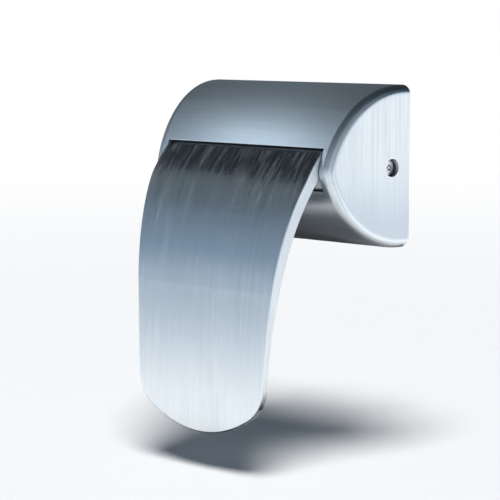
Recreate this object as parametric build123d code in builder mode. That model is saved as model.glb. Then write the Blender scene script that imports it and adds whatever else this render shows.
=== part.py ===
"""Ligature-resistant paddle handle: a push paddle in a sloped cast housing that turns a square spindle.

Millimetres. Origin where the spindle's axis meets the mounting face, +X to the right, +Y backwards, +Z up.
"""

from build123d import *
import math
import os

os.makedirs("parts", exist_ok=True)

# Housing: an arched cover with sloping ends, cast hollow and open at the back
HOUSING_WIDTH = 120.6
HOUSING_HEIGHT = 75.0
HOUSING_DEPTH = 50.8
BACK_STRAIGHT = 2.4
END_SLOPE = 8.5
WALL = 2.5
END_EDGE_RADIUS = 4.5
NOSE_RADIUS = 8.0
MOUTH_TOP = 10.0
MOUTH_BOTTOM = 9.2
LIP_THICKNESS = 2.0
LIP_EDGE_RADIUS = 0.5

# Paddle: a curved plate that thins towards its round end
PADDLE_END_MARGIN = 13.9
PADDLE_DROP = 119.8
TAPER_START = 5.0
TAPER_MIDDLE = 50.0
TAPER_MIDDLE_INSET = 5.5
TAPER_END_INSET = 9.2
TIP_RADIUS = 52.0
TIP_CORNER_RADIUS = 18.0
PADDLE_EDGE_RADIUS = 0.6
MOUTH_SIDE_GAP = 0.5
MOUTH_TOP_GAP = 1.6
FRONT_SETBACK = 2.35
FRONT_ANGLES = (43.5, 68.0, 84.0, 90.0)
FRONT_ROOT_RADIUS = 78.5
FRONT_MIDDLE_RADIUS = 125.0
FRONT_TIP_RADIUS = 520.0
BACK_SETBACK = 0.9
BACK_ROOT_DROP = 3.2
BACK_ANGLES = (54.0, 74.0, 90.0)
BACK_ROOT_RADIUS = 105.0
BACK_TIP_RADIUS = 228.0

# Pivot: a fixed axle that the paddle swings on
NOSE_TO_PIVOT = 26.8
AXLE_RADIUS = 3.0
AXLE_END = 0.5
BUSH_RADIUS = 4.0
BUSH_FLANGE_RADIUS = 5.5
BUSH_FLANGE = 1.0
HUB_RADIUS = 7.5
PUSH_ANGLE = 12.0

# Drum: the curved shield in the housing's mouth that keeps it closed in every position
DRUM_THICKNESS = 2.8
DRUM_OVERLAP = 2.6
DRUM_TOP_ANGLE = 43.0
DRUM_BOTTOM_ANGLE = 27.0
DRUM_GAP = 0.5
END_WEB_THICKNESS = 6.0
LEVER_WEB_THICKNESS = 4.5
LEVER_WEB_INSIDE = 11.5

# Bracket: pressed steel, with a cheek at each end
PLATE_THICKNESS = 3.0
PLATE_CORNER = 4.0
CHEEK_THICKNESS = 3.0
CHEEK_END_MARGIN = 7.8
PLATE_TOP_MARGIN = 6.5
CHEEK_RADIUS = 9.0
CHEEK_FOOT = 28.0
BEND_RADIUS = 2.0

# Slide and rotor: turn the paddle's swing into the spindle's turn
SLIDE_THICKNESS = 3.0
SLIDE_WIDTH = 39.0
SLIDE_HEIGHT = 48.0
SLIDE_CORNER = 3.0
FINGER_RADIUS = 2.4
FINGER_NECK = 2.8
CRANK_RADIUS = 6.4
CRANK_PIN_RADIUS = 2.0
ROTOR_HUB_RADIUS = 9.0
ROTOR_FLANGE_RADIUS = 10.5
ROTOR_FLANGE = 1.9
SPINDLE_SIDE = 8.0
SPINDLE_REACH = 48.0
SPINDLE_CHAMFER = 0.8
GUIDE_STUD_RADIUS = 2.0
GUIDE_COLLAR_RADIUS = 3.6
GUIDE_HEAD_RADIUS = 4.0
GUIDE_HEAD = 1.2
GUIDE_HEIGHT = 17.0
BUMPER_RADIUS = 2.8
BUMPER_LENGTH = 6.0
BUMPER_SPACING = 24.0

# Fasteners
HOUSING_SCREW_RADIUS = 2.0
HOUSING_SCREW_DEPTH = 11.3
HOUSING_SCREW_HEAD_RADIUS = 3.7
HOUSING_SCREW_HEAD = 2.0
HOUSING_SCREW_SINK = 1.8
HOUSING_SCREW_LENGTH = 7.0
RECESS_RADIUS = 4.2
BOSS_RADIUS = 5.8
SOCKET_RADIUS = 1.6
SOCKET_PIN_RADIUS = 0.6
SOCKET_DEPTH = 1.4
DOOR_SCREW_RADIUS = 2.5
DOOR_SCREW_SHOULDER_RADIUS = 2.9
DOOR_SCREW_HEAD_RADIUS = 4.75
DOOR_SCREW_HEAD = 3.0
DOOR_SCREW_REACH = 20.0
DOOR_SCREW_SIDE_MARGIN = 14.5
DOOR_SCREW_TOP_MARGIN = 7.0
CROSS_WIDTH = 1.2
CROSS_LENGTH = 5.0
CROSS_DEPTH = 1.8

# Return springs
SPRING_RADIUS = 5.2
SPRING_WIRE_RADIUS = 0.8
SPRING_TURNS = 5
SPRING_PITCH = 1.45
SPRING_INSIDE = 21.5
LEDGE_THICKNESS = 2.5
LEDGE_DEPTH = 5.0

# Retaining clips
CLIP_RADIUS = 4.8
CLIP_THICKNESS = 0.9
CLIP_MOUTH = 3.4
GROOVE_DEPTH = 0.6

# Clearances
RUNNING = 0.05
LOOSE = 0.2
SEAT = 0.3

# Places worked out from the sizes
half_height = HOUSING_HEIGHT / 2
half_width = HOUSING_WIDTH / 2
section_radius = ((HOUSING_DEPTH - BACK_STRAIGHT) ** 2 + half_height**2) / HOUSING_HEIGHT
section_drop = section_radius - half_height
slope = math.tan(math.radians(END_SLOPE))
paddle_half = half_width - PADDLE_END_MARGIN
paddle_top = MOUTH_TOP - MOUTH_TOP_GAP
front_start = (FRONT_SETBACK - HOUSING_DEPTH, paddle_top)
back_start = (BACK_SETBACK - HOUSING_DEPTH, -BACK_ROOT_DROP)
mouth_half = paddle_half + MOUTH_SIDE_GAP
drum_half = mouth_half + DRUM_OVERLAP
pivot_depth = HOUSING_DEPTH - NOSE_TO_PIVOT
pivot = (-pivot_depth, 0)
pivot_axis = Axis((0, -pivot_depth, 0), (1, 0, 0))
lip_front = BACK_STRAIGHT + math.sqrt(section_radius**2 - (MOUTH_TOP + section_drop) ** 2)
drum_radius = math.hypot(lip_front - LIP_THICKNESS - pivot_depth, MOUTH_TOP) - DRUM_GAP
drum_inside = drum_radius - DRUM_THICKNESS
drum_middle = drum_radius - DRUM_THICKNESS / 2
drum_front = pivot_depth + drum_middle
cheek_outside = half_width - CHEEK_END_MARGIN
cheek_inside = cheek_outside - CHEEK_THICKNESS
web_inside = paddle_half - END_WEB_THICKNESS
plate_height = HOUSING_HEIGHT - 2 * PLATE_TOP_MARGIN
door_screw_spacing_x = 2 * (cheek_outside - DOOR_SCREW_SIDE_MARGIN)
door_screw_spacing_z = plate_height - 2 * DOOR_SCREW_TOP_MARGIN
rotor_front = -PLATE_THICKNESS - LOOSE / 2 - ROTOR_FLANGE
slide_back = rotor_front - LOOSE
slide_front = slide_back - SLIDE_THICKNESS
slide_middle = (slide_back + slide_front) / 2
finger_length = pivot_depth + slide_middle
slide_travel = 2 * finger_length * math.sin(math.radians(PUSH_ANGLE / 2))
rotor_turn = 2 * math.degrees(math.asin(slide_travel / 2 / CRANK_RADIUS))
crank_x = CRANK_RADIUS * math.cos(math.radians(rotor_turn / 2))
head_seat = half_width - HOUSING_SCREW_DEPTH * slope - HOUSING_SCREW_HEAD - HOUSING_SCREW_SINK
groove_radius = AXLE_RADIUS - GROOVE_DEPTH
spring_width = (SPRING_TURNS - 1) * SPRING_PITCH + 2 * SPRING_WIRE_RADIUS
leg_height = SPRING_RADIUS + SPRING_WIRE_RADIUS + RUNNING
drum_ledge = math.sqrt(drum_middle**2 - (leg_height + LEDGE_THICKNESS) ** 2)


def on_pivot_circle(radius, angle):
    """A point of the YZ plane on a circle round the pivot; angle 0 points forwards, positive upwards."""
    turn = math.radians(angle)
    return (-pivot_depth - radius * math.cos(turn), radius * math.sin(turn))


def arc_chain(start, angles, radii):
    """Arcs that follow each other smoothly, forwards and downwards; the angles are below horizontal."""
    point = Vector(*start)
    for radius, angle, next_angle in zip(radii, angles, angles[1:]):
        heading = math.radians(angle)
        arc = JernArc(point, (-math.cos(heading), -math.sin(heading)), radius, next_angle - angle)
        point = arc @ 1
    return point


def drum_sector(radius):
    """The drum's share of a circle round the pivot, as a slice from the pivot outwards, in the open sketch."""
    with Locations(pivot):
        Circle(radius)
    Polygon(
        pivot,
        on_pivot_circle(2 * radius, DRUM_TOP_ANGLE),
        on_pivot_circle(2 * radius, 0),
        on_pivot_circle(2 * radius, -DRUM_BOTTOM_ANGLE),
        align=None,
        mode=Mode.INTERSECT,
    )


def housing_form(inset, edge_radius):
    """The housing's outer form, moved inwards by inset on every face but the back one."""
    radius = section_radius - inset
    rise = 90 - math.degrees(math.asin(section_drop / radius))
    back_half = half_width - inset / math.cos(math.radians(END_SLOPE))
    front_half = back_half - slope * HOUSING_DEPTH
    with BuildPart() as form:
        with BuildSketch(Plane.YZ):
            with BuildLine():
                top = CenterArc((-BACK_STRAIGHT, -section_drop), radius, 90, rise)
                bottom = CenterArc((-BACK_STRAIGHT, section_drop), radius, 270 - rise, rise)
                Polyline(top @ 0, (0, half_height - inset), (0, inset - half_height), bottom @ 1)
            make_face()
        extrude(amount=half_width, both=True)
        with BuildSketch(Plane.XY):
            Polygon(
                (-back_half, 0),
                (-front_half, -HOUSING_DEPTH),
                (front_half, -HOUSING_DEPTH),
                (back_half, 0),
                align=None,
            )
        extrude(amount=half_height, both=True, mode=Mode.INTERSECT)
        fillet(form.edges().filter_by(Axis.X).sort_by(Axis.Y)[0], NOSE_RADIUS - inset)
        ends = form.faces().sort_by(Axis.X)
        rims = ends[0].edges() + ends[-1].edges()
        fillet(rims.filter_by(lambda edge: edge.center().Y < -RUNNING), edge_radius)
    return form.part


# Housing
outer = housing_form(0, END_EDGE_RADIUS)
inner = housing_form(WALL, max(END_EDGE_RADIUS - WALL, RUNNING))
with BuildPart() as housing:
    add(outer)
    with BuildSketch(Plane.YZ):
        with Locations(pivot):
            Circle(drum_radius + DRUM_GAP)
    extrude(amount=drum_half + DRUM_GAP, both=True, mode=Mode.SUBTRACT)
    add(inner, mode=Mode.SUBTRACT)
    with BuildSketch(Plane.XZ.offset(pivot_depth)):
        with Locations((0, (MOUTH_TOP - MOUTH_BOTTOM) / 2)):
            Rectangle(2 * mouth_half, MOUTH_TOP + MOUTH_BOTTOM)
    extrude(amount=HOUSING_DEPTH, mode=Mode.SUBTRACT)
    long_edges = housing.edges().filter_by(Axis.X)
    lips = long_edges.filter_by(lambda edge: abs(edge.length - 2 * mouth_half) < RUNNING)
    fillet(lips.sort_by(Axis.Y)[:2], LIP_EDGE_RADIUS)
    for outward in (1, -1):
        with BuildSketch(Plane.YZ.offset(outward * cheek_outside)):
            with Locations((-HOUSING_SCREW_DEPTH, 0)):
                Circle(BOSS_RADIUS)
        extrude(amount=outward * (head_seat + WALL / 2 - cheek_outside))
        with BuildSketch(Plane.YZ.offset(outward * cheek_outside)):
            with Locations((-HOUSING_SCREW_DEPTH, 0)):
                Circle(HOUSING_SCREW_RADIUS + LOOSE)
        extrude(amount=outward * half_width, mode=Mode.SUBTRACT)
        with BuildSketch(Plane.YZ.offset(outward * head_seat)):
            with Locations((-HOUSING_SCREW_DEPTH, 0)):
                Circle(RECESS_RADIUS)
        extrude(amount=outward * half_width, mode=Mode.SUBTRACT)
housing.part.label = "housing"

# Bracket
with BuildPart() as bracket:
    with BuildSketch(Plane.XZ):
        RectangleRounded(2 * cheek_outside, plate_height, PLATE_CORNER)
    extrude(amount=PLATE_THICKNESS)
    for outward in (1, -1):
        with BuildSketch(Plane.YZ.offset(outward * cheek_inside)):
            Polygon(
                (0, CHEEK_FOOT / 2),
                (0, -CHEEK_FOOT / 2),
                (-pivot_depth, -CHEEK_RADIUS),
                (-pivot_depth, CHEEK_RADIUS),
                align=None,
            )
            with Locations(pivot):
                Circle(CHEEK_RADIUS)
            with Locations(pivot):
                Circle(AXLE_RADIUS + RUNNING, mode=Mode.SUBTRACT)
            with Locations((-HOUSING_SCREW_DEPTH, 0)):
                Circle(HOUSING_SCREW_RADIUS + RUNNING, mode=Mode.SUBTRACT)
        extrude(amount=outward * CHEEK_THICKNESS)
    bends = bracket.edges().filter_by(Axis.Z).filter_by(lambda edge: abs(edge.center().Y + PLATE_THICKNESS) < RUNNING)
    fillet(bends.filter_by(lambda edge: abs(abs(edge.center().X) - cheek_inside) < RUNNING), BEND_RADIUS)
    with BuildSketch(Plane.XZ):
        Circle(ROTOR_HUB_RADIUS + RUNNING)
        with Locations((0, GUIDE_HEIGHT), (0, -GUIDE_HEIGHT)):
            Circle(GUIDE_STUD_RADIUS + RUNNING)
        with GridLocations(door_screw_spacing_x, door_screw_spacing_z, 2, 2):
            Circle(DOOR_SCREW_SHOULDER_RADIUS + RUNNING)
    extrude(amount=PLATE_THICKNESS, mode=Mode.SUBTRACT)
    for outward in (1, -1):
        with BuildSketch(Plane.YZ.offset(outward * SPRING_INSIDE)):
            with Locations((-PLATE_THICKNESS, -leg_height)):
                Rectangle(LEDGE_DEPTH, LEDGE_THICKNESS, align=(Align.MAX, Align.MAX))
        extrude(amount=outward * spring_width)
bracket.part.label = "mounting_bracket"

# Paddle: the plate's two faces are chains of arcs that meet smoothly
with BuildPart() as paddle:
    with BuildSketch(Plane.YZ):
        with BuildLine():
            front_end = arc_chain(
                front_start,
                FRONT_ANGLES,
                (FRONT_ROOT_RADIUS, FRONT_MIDDLE_RADIUS, FRONT_TIP_RADIUS),
            )
            back_end = arc_chain(back_start, BACK_ANGLES, (BACK_ROOT_RADIUS, BACK_TIP_RADIUS))
            Polyline(front_end, (front_end.X, -2 * PADDLE_DROP), (back_end.X, -2 * PADDLE_DROP), back_end)
            Line(front_start, back_start)
        make_face()
    extrude(amount=paddle_half, both=True)
    middle_half = paddle_half - TAPER_MIDDLE_INSET
    tip_half = paddle_half - TAPER_END_INSET
    tip_centre = TIP_RADIUS - PADDLE_DROP
    tip_side = tip_centre - math.sqrt(TIP_RADIUS**2 - tip_half**2)
    with BuildSketch(Plane.XZ):
        with BuildLine():
            Polyline(
                (-paddle_half, -TAPER_START),
                (-paddle_half, paddle_top),
                (paddle_half, paddle_top),
                (paddle_half, -TAPER_START),
            )
            for outward in (1, -1):
                ThreePointArc(
                    (outward * paddle_half, -TAPER_START),
                    (outward * middle_half, -TAPER_MIDDLE),
                    (outward * tip_half, tip_side),
                )
            ThreePointArc((-tip_half, tip_side), (0, -PADDLE_DROP), (tip_half, tip_side))
        outline = make_face()
        fillet(outline.vertices().group_by(Axis.Y)[0], TIP_CORNER_RADIUS)
    extrude(amount=2 * HOUSING_DEPTH, mode=Mode.INTERSECT)
    long_edges = paddle.edges().filter_by(Axis.X, reverse=True).filter_by(Axis.Y, reverse=True)
    fillet(long_edges.filter_by(lambda edge: edge.center().Y < back_start[0]), PADDLE_EDGE_RADIUS)
    with BuildSketch(Plane.YZ):
        Polygon(front_start, back_start, (-drum_front, back_start[1]), (-drum_front, paddle_top), align=None)
    extrude(amount=paddle_half, both=True)
    with BuildSketch(Plane.YZ):
        drum_sector(drum_radius)
        with Locations(pivot):
            Circle(drum_inside, mode=Mode.SUBTRACT)
    extrude(amount=drum_half, both=True)
    for outward in (1, -1):
        for inside, thickness in ((LEVER_WEB_INSIDE, LEVER_WEB_THICKNESS), (web_inside, END_WEB_THICKNESS)):
            with BuildSketch(Plane.YZ.offset(outward * inside)):
                drum_sector(drum_middle)
                with Locations(pivot):
                    Circle(HUB_RADIUS)
            extrude(amount=outward * thickness)
        with BuildSketch(Plane.YZ.offset(outward * LEVER_WEB_INSIDE)):
            nose = on_pivot_circle(-finger_length, PUSH_ANGLE / 2)
            with Locations(nose):
                Circle(FINGER_RADIUS)
            Polygon(
                (-pivot_depth, HUB_RADIUS),
                (-pivot_depth, -HUB_RADIUS),
                (nose[0], nose[1] - FINGER_NECK / 2),
                (nose[0], nose[1] + FINGER_NECK / 2),
                align=None,
            )
        extrude(amount=outward * LEVER_WEB_THICKNESS)
        with BuildSketch(Plane.YZ.offset(outward * SPRING_INSIDE)):
            with Locations((-pivot_depth - drum_ledge, leg_height)):
                Rectangle(LEDGE_DEPTH, LEDGE_THICKNESS, align=(Align.MIN, Align.MIN))
        extrude(amount=outward * spring_width)
        with BuildSketch(Plane.YZ.offset(outward * LEVER_WEB_INSIDE)):
            with Locations(pivot):
                Circle(AXLE_RADIUS + SEAT)
        extrude(amount=outward * LEVER_WEB_THICKNESS, mode=Mode.SUBTRACT)
        with BuildSketch(Plane.YZ.offset(outward * web_inside)):
            with Locations(pivot):
                Circle(BUSH_RADIUS + RUNNING)
        extrude(amount=outward * END_WEB_THICKNESS, mode=Mode.SUBTRACT)
paddle.part.label = "paddle"

# Axle, grooved for a clip inside each cheek
with BuildPart() as axle:
    with BuildSketch(Plane.YZ):
        with Locations(pivot):
            Circle(AXLE_RADIUS)
    extrude(amount=cheek_outside + AXLE_END, both=True)
    chamfer(axle.edges().filter_by(GeomType.CIRCLE), AXLE_END)
    for outward in (1, -1):
        with BuildSketch(Plane.YZ.offset(outward * (cheek_inside - CLIP_THICKNESS - 2 * RUNNING))):
            with Locations(pivot):
                Circle(AXLE_RADIUS)
                Circle(groove_radius, mode=Mode.SUBTRACT)
        extrude(amount=outward * (CLIP_THICKNESS + 2 * RUNNING), mode=Mode.SUBTRACT)
axle.part.label = "pivot_axle"

sides = {"left": -1, "right": 1}
pieces = [housing, bracket, paddle, axle]

# Flanged bushes in the paddle's end webs, and the clips that keep the axle in its cheeks
for side, outward in sides.items():
    with BuildPart() as bush:
        with BuildSketch(Plane.YZ.offset(outward * web_inside)):
            with Locations(pivot):
                Circle(BUSH_RADIUS)
        extrude(amount=outward * END_WEB_THICKNESS)
        with BuildSketch(Plane.YZ.offset(outward * paddle_half)):
            with Locations(pivot):
                Circle(BUSH_FLANGE_RADIUS)
        extrude(amount=outward * BUSH_FLANGE)
        with BuildSketch(Plane.YZ.offset(outward * web_inside)):
            with Locations(pivot):
                Circle(AXLE_RADIUS + RUNNING)
        extrude(amount=outward * (END_WEB_THICKNESS + BUSH_FLANGE), mode=Mode.SUBTRACT)
    bush.part.label = f"pivot_bush_{side}"
    with BuildPart() as clip:
        with BuildSketch(Plane.YZ.offset(outward * (cheek_inside - RUNNING))):
            with Locations(pivot):
                Circle(CLIP_RADIUS)
                Circle(groove_radius + RUNNING, mode=Mode.SUBTRACT)
                Rectangle(
                    CLIP_RADIUS,
                    CLIP_MOUTH,
                    align=(Align.MAX, Align.CENTER),
                    mode=Mode.SUBTRACT,
                )
        extrude(amount=-outward * CLIP_THICKNESS)
    clip.part.label = f"axle_clip_{side}"
    pieces += [bush, clip]

# Torsion springs: closed coils round the axle, one leg under the paddle's ledge, one on the bracket's
for side, outward in sides.items():
    with BuildPart() as spring:
        for turn in range(SPRING_TURNS):
            coil_x = SPRING_INSIDE + SPRING_WIRE_RADIUS + turn * SPRING_PITCH
            with BuildSketch(Plane.XY):
                with Locations((outward * coil_x, SPRING_RADIUS - pivot_depth)):
                    Circle(SPRING_WIRE_RADIUS)
            revolve(axis=pivot_axis)
        for coil_x, height, reach in (
            (SPRING_INSIDE + spring_width - SPRING_WIRE_RADIUS, SPRING_RADIUS, drum_inside - LEDGE_DEPTH / 2),
            (SPRING_INSIDE + SPRING_WIRE_RADIUS, -SPRING_RADIUS, LEDGE_DEPTH / 2 + PLATE_THICKNESS - pivot_depth),
        ):
            with BuildSketch(Plane.XZ.offset(pivot_depth)):
                with Locations((outward * coil_x, height)):
                    Circle(SPRING_WIRE_RADIUS - RUNNING)
            extrude(amount=reach)
    spring.part.label = f"return_spring_{side}"
    pieces.append(spring)

# Slide: windows for the paddle's fingers, a cross slot for the crank pin, long slots for its guide studs
with BuildPart() as slide:
    with BuildSketch(Plane.XZ.offset(-slide_back)):
        RectangleRounded(SLIDE_WIDTH, SLIDE_HEIGHT, SLIDE_CORNER)
        for outward in (1, -1):
            with Locations((outward * (LEVER_WEB_INSIDE + LEVER_WEB_THICKNESS / 2), -slide_travel / 2)):
                Rectangle(LEVER_WEB_THICKNESS + 2 * SEAT, 2 * (FINGER_RADIUS + RUNNING), mode=Mode.SUBTRACT)
            with Locations((0, outward * GUIDE_HEIGHT - slide_travel / 2)):
                SlotCenterToCenter(
                    slide_travel + 2 * SEAT,
                    2 * (GUIDE_STUD_RADIUS + RUNNING),
                    rotation=90,
                    mode=Mode.SUBTRACT,
                )
        with Locations(((crank_x + CRANK_RADIUS) / 2, -slide_travel / 2)):
            SlotCenterToCenter(
                CRANK_RADIUS - crank_x + 2 * SEAT,
                2 * (CRANK_PIN_RADIUS + RUNNING),
                mode=Mode.SUBTRACT,
            )
    extrude(amount=SLIDE_THICKNESS)
slide.part.label = "drive_slide"

# Rotor: a flanged hub in the bracket's round hole, a crank pin in front, a square socket for the spindle
with BuildPart() as rotor:
    with BuildSketch(Plane.XZ):
        Circle(ROTOR_HUB_RADIUS)
    extrude(amount=-rotor_front)
    with BuildSketch(Plane.XZ.offset(-rotor_front)):
        Circle(ROTOR_FLANGE_RADIUS)
    extrude(amount=-ROTOR_FLANGE)
    with BuildSketch(Plane.XZ.offset(-rotor_front)):
        with Locations((crank_x, -slide_travel / 2)):
            Circle(CRANK_PIN_RADIUS)
    extrude(amount=rotor_front - slide_front + SEAT)
    with BuildSketch(Plane.XZ):
        Rectangle(SPINDLE_SIDE + 2 * RUNNING, SPINDLE_SIDE + 2 * RUNNING)
    extrude(amount=PLATE_THICKNESS, mode=Mode.SUBTRACT)
rotor.part.label = "crank_rotor"

# Spindle: a square bar that carries the turn backwards
with BuildPart() as spindle:
    with BuildSketch(Plane.XZ.offset(PLATE_THICKNESS - RUNNING)):
        Rectangle(SPINDLE_SIDE, SPINDLE_SIDE)
    extrude(amount=RUNNING - PLATE_THICKNESS - SPINDLE_REACH)
    chamfer(spindle.faces().sort_by(Axis.Y)[-1].edges(), SPINDLE_CHAMFER)
spindle.part.label = "square_spindle"
pieces += [slide, rotor, spindle]

# Guide studs: riveted in the plate, with a collar behind the slide and a head in front
for place, upward in {"upper": 1, "lower": -1}.items():
    with BuildPart() as stud:
        for start, end, radius in (
            (0, slide_front - LOOSE - GUIDE_HEAD, GUIDE_STUD_RADIUS),
            (-PLATE_THICKNESS, slide_back + LOOSE, GUIDE_COLLAR_RADIUS),
            (slide_front - LOOSE, slide_front - LOOSE - GUIDE_HEAD, GUIDE_HEAD_RADIUS),
        ):
            with BuildSketch(Plane.XZ.offset(-start)):
                with Locations((0, upward * GUIDE_HEIGHT)):
                    Circle(radius)
            extrude(amount=start - end)
    stud.part.label = f"guide_stud_{place}"
    pieces.append(stud)

# Rubber bumpers under the slide, where it comes to rest
for side, outward in sides.items():
    with BuildPart() as bumper:
        with BuildSketch(Plane.XZ.offset(PLATE_THICKNESS)):
            with Locations((outward * BUMPER_SPACING / 2, -SLIDE_HEIGHT / 2 - SEAT - BUMPER_RADIUS)):
                Circle(BUMPER_RADIUS)
        extrude(amount=BUMPER_LENGTH)
        fillet(bumper.edges().sort_by(Axis.Y)[0], BUMPER_RADIUS / 4)
    bumper.part.label = f"rest_bumper_{side}"
    pieces.append(bumper)

# Security screws through the housing's ends, with a pin in the middle of the socket
for side, outward in sides.items():
    with BuildPart() as end_screw:
        with BuildSketch(Plane.YZ.offset(outward * head_seat)):
            with Locations((-HOUSING_SCREW_DEPTH, 0)):
                Circle(HOUSING_SCREW_HEAD_RADIUS)
        extrude(amount=outward * HOUSING_SCREW_HEAD)
        fillet(end_screw.edges().sort_by(Axis.X)[-1 if outward > 0 else 0], HOUSING_SCREW_HEAD / 4)
        with BuildSketch(Plane.YZ.offset(outward * head_seat)):
            with Locations((-HOUSING_SCREW_DEPTH, 0)):
                Circle(HOUSING_SCREW_RADIUS)
        extrude(amount=-outward * HOUSING_SCREW_LENGTH)
        with BuildSketch(Plane.YZ.offset(outward * (head_seat + HOUSING_SCREW_HEAD))):
            with Locations((-HOUSING_SCREW_DEPTH, 0)):
                RegularPolygon(SOCKET_RADIUS, 6)
                Circle(SOCKET_PIN_RADIUS, mode=Mode.SUBTRACT)
        extrude(amount=-outward * SOCKET_DEPTH, mode=Mode.SUBTRACT)
    end_screw.part.label = f"housing_screw_{side}"
    pieces.append(end_screw)

# Screws through the plate: pan heads in front, a shoulder in the plate, shanks that stand out of the back
for place, upward in {"upper": 1, "lower": -1}.items():
    for side, outward in sides.items():
        spot = (outward * door_screw_spacing_x / 2, upward * door_screw_spacing_z / 2)
        with BuildPart() as door_screw:
            with BuildSketch(Plane.XZ.offset(PLATE_THICKNESS)):
                with Locations(spot):
                    Circle(DOOR_SCREW_HEAD_RADIUS)
            extrude(amount=DOOR_SCREW_HEAD)
            fillet(door_screw.edges().sort_by(Axis.Y)[0], DOOR_SCREW_HEAD / 3)
            with BuildSketch(Plane.XZ.offset(PLATE_THICKNESS)):
                with Locations(spot):
                    Circle(DOOR_SCREW_SHOULDER_RADIUS)
            extrude(amount=RUNNING - PLATE_THICKNESS)
            with BuildSketch(Plane.XZ.offset(RUNNING)):
                with Locations(spot):
                    Circle(DOOR_SCREW_RADIUS)
            extrude(amount=-RUNNING - DOOR_SCREW_REACH)
            chamfer(door_screw.edges().sort_by(Axis.Y)[-1], DOOR_SCREW_RADIUS / 4)
            with BuildSketch(Plane.XZ.offset(PLATE_THICKNESS + DOOR_SCREW_HEAD)):
                with Locations(spot):
                    Rectangle(CROSS_LENGTH, CROSS_WIDTH)
                    Rectangle(CROSS_WIDTH, CROSS_LENGTH)
            extrude(amount=-CROSS_DEPTH, mode=Mode.SUBTRACT)
        door_screw.part.label = f"door_screw_{place}_{side}"
        pieces.append(door_screw)

for piece in pieces:
    export_step(piece.part, f"parts/{piece.part.label}.step")
print("pieces", len(pieces))
print("slide travel", round(slide_travel, 4), "rotor turn", round(rotor_turn, 4))
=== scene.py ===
# %% [markdown]
# # A ligature-resistant paddle handle
# The real handle is a trim of brushed stainless steel: an arched housing with sloping ends, and a curved
# paddle that is pushed to work it. Nothing on it can hold a cord, so every edge is rounded and every gap is
# thin. The construction is already there as a fixed frame, so this lesson is about its finish: how brushed
# steel, raw casting, plated sheet, ground steel, bronze and rubber are made from shader nodes, and how a few
# pieces, such as threads and coiled springs, are built in mesh code where a plain solid would not do.

import math

import bmesh
import bpy
from mathutils import Matrix, Vector


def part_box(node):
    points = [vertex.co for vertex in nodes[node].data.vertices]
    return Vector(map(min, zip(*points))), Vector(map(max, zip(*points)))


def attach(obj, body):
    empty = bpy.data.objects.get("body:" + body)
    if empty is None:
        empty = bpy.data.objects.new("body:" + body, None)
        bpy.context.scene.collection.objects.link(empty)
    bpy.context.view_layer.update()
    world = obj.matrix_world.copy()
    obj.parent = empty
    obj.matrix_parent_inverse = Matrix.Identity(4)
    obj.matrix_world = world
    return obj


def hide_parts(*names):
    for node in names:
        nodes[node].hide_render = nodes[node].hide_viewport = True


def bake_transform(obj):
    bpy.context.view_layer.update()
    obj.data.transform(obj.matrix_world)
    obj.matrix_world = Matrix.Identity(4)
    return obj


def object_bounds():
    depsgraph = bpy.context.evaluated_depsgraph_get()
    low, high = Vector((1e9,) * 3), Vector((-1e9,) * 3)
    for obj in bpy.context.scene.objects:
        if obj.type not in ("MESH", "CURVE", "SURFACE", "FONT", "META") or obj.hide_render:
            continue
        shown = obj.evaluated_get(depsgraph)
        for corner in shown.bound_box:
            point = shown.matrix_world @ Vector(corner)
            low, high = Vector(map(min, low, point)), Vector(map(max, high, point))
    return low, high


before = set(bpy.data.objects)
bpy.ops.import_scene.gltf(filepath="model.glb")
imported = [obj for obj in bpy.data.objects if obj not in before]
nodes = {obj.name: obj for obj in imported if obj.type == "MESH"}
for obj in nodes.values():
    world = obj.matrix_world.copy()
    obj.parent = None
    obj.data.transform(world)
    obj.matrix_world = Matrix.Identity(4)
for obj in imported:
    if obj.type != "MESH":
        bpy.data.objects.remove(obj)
CAD_BOX = [list(corner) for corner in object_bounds()]
MM = 0.001
print("frame box in mm:", [[round(v / MM, 1) for v in corner] for corner in CAD_BOX])
print("nodes:", sorted(nodes))

# %% [markdown]
# ## Small helpers for node trees
# Every finish below is a tree of shader nodes. Writing them by hand repeats three steps: add a node, set its
# values, link it. These helpers do that in one line each, so that the cells that follow read like a recipe.

# %% Helpers that add nodes
def feed(tree, value, socket):
    """Gives an input socket its value: a socket to link, a number, a vector or an (r, g, b) colour."""
    if isinstance(value, bpy.types.NodeSocket):
        tree.links.new(value, socket)
    elif socket.type == "RGBA":
        socket.default_value = (*value, 1.0)
    else:
        socket.default_value = value


def add_node(tree, kind, **settings):
    """Adds a node; names with a capital first letter are its input sockets, the others its properties."""
    node = tree.nodes.new(kind)
    for name, value in settings.items():
        if name[0].isupper():
            feed(tree, value, node.inputs[name.replace("_", " ")])
        else:
            setattr(node, name, value)
    return node


def math_node(tree, operation, first, second=None, clamp=False):
    """A Math node; gives its output socket."""
    node = add_node(tree, "ShaderNodeMath", operation=operation, use_clamp=clamp)
    for socket, value in zip(node.inputs, (first, second)):
        if value is not None:
            feed(tree, value, socket)
    return node.outputs[0]


def times(tree, value, share):
    """A value times a share; gives the output socket."""
    return math_node(tree, "MULTIPLY", value, share)


def map_range(tree, value, from_min, from_max, to_min=0.0, to_max=1.0, smooth=False):
    """A clamped Map Range node; gives its output socket."""
    limits = {"From_Min": from_min, "From_Max": from_max, "To_Min": to_min, "To_Max": to_max}
    kind = "SMOOTHSTEP" if smooth else "LINEAR"
    node = add_node(tree, "ShaderNodeMapRange", interpolation_type=kind, Value=value, **limits)
    return node.outputs["Result"]


print("helpers for nodes are ready")

# %% [markdown]
# ## Shared group: brushed grain
# Brushing leaves many fine parallel lines. A noise texture that is squeezed across the lines and stretched
# along them gives exactly that, without an image. Which way the lines run depends on the piece, so the group
# takes the stretch as an input, in cells per metre: many across the lines, few along them. A node group is
# made once and placed in every material that needs it.

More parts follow.
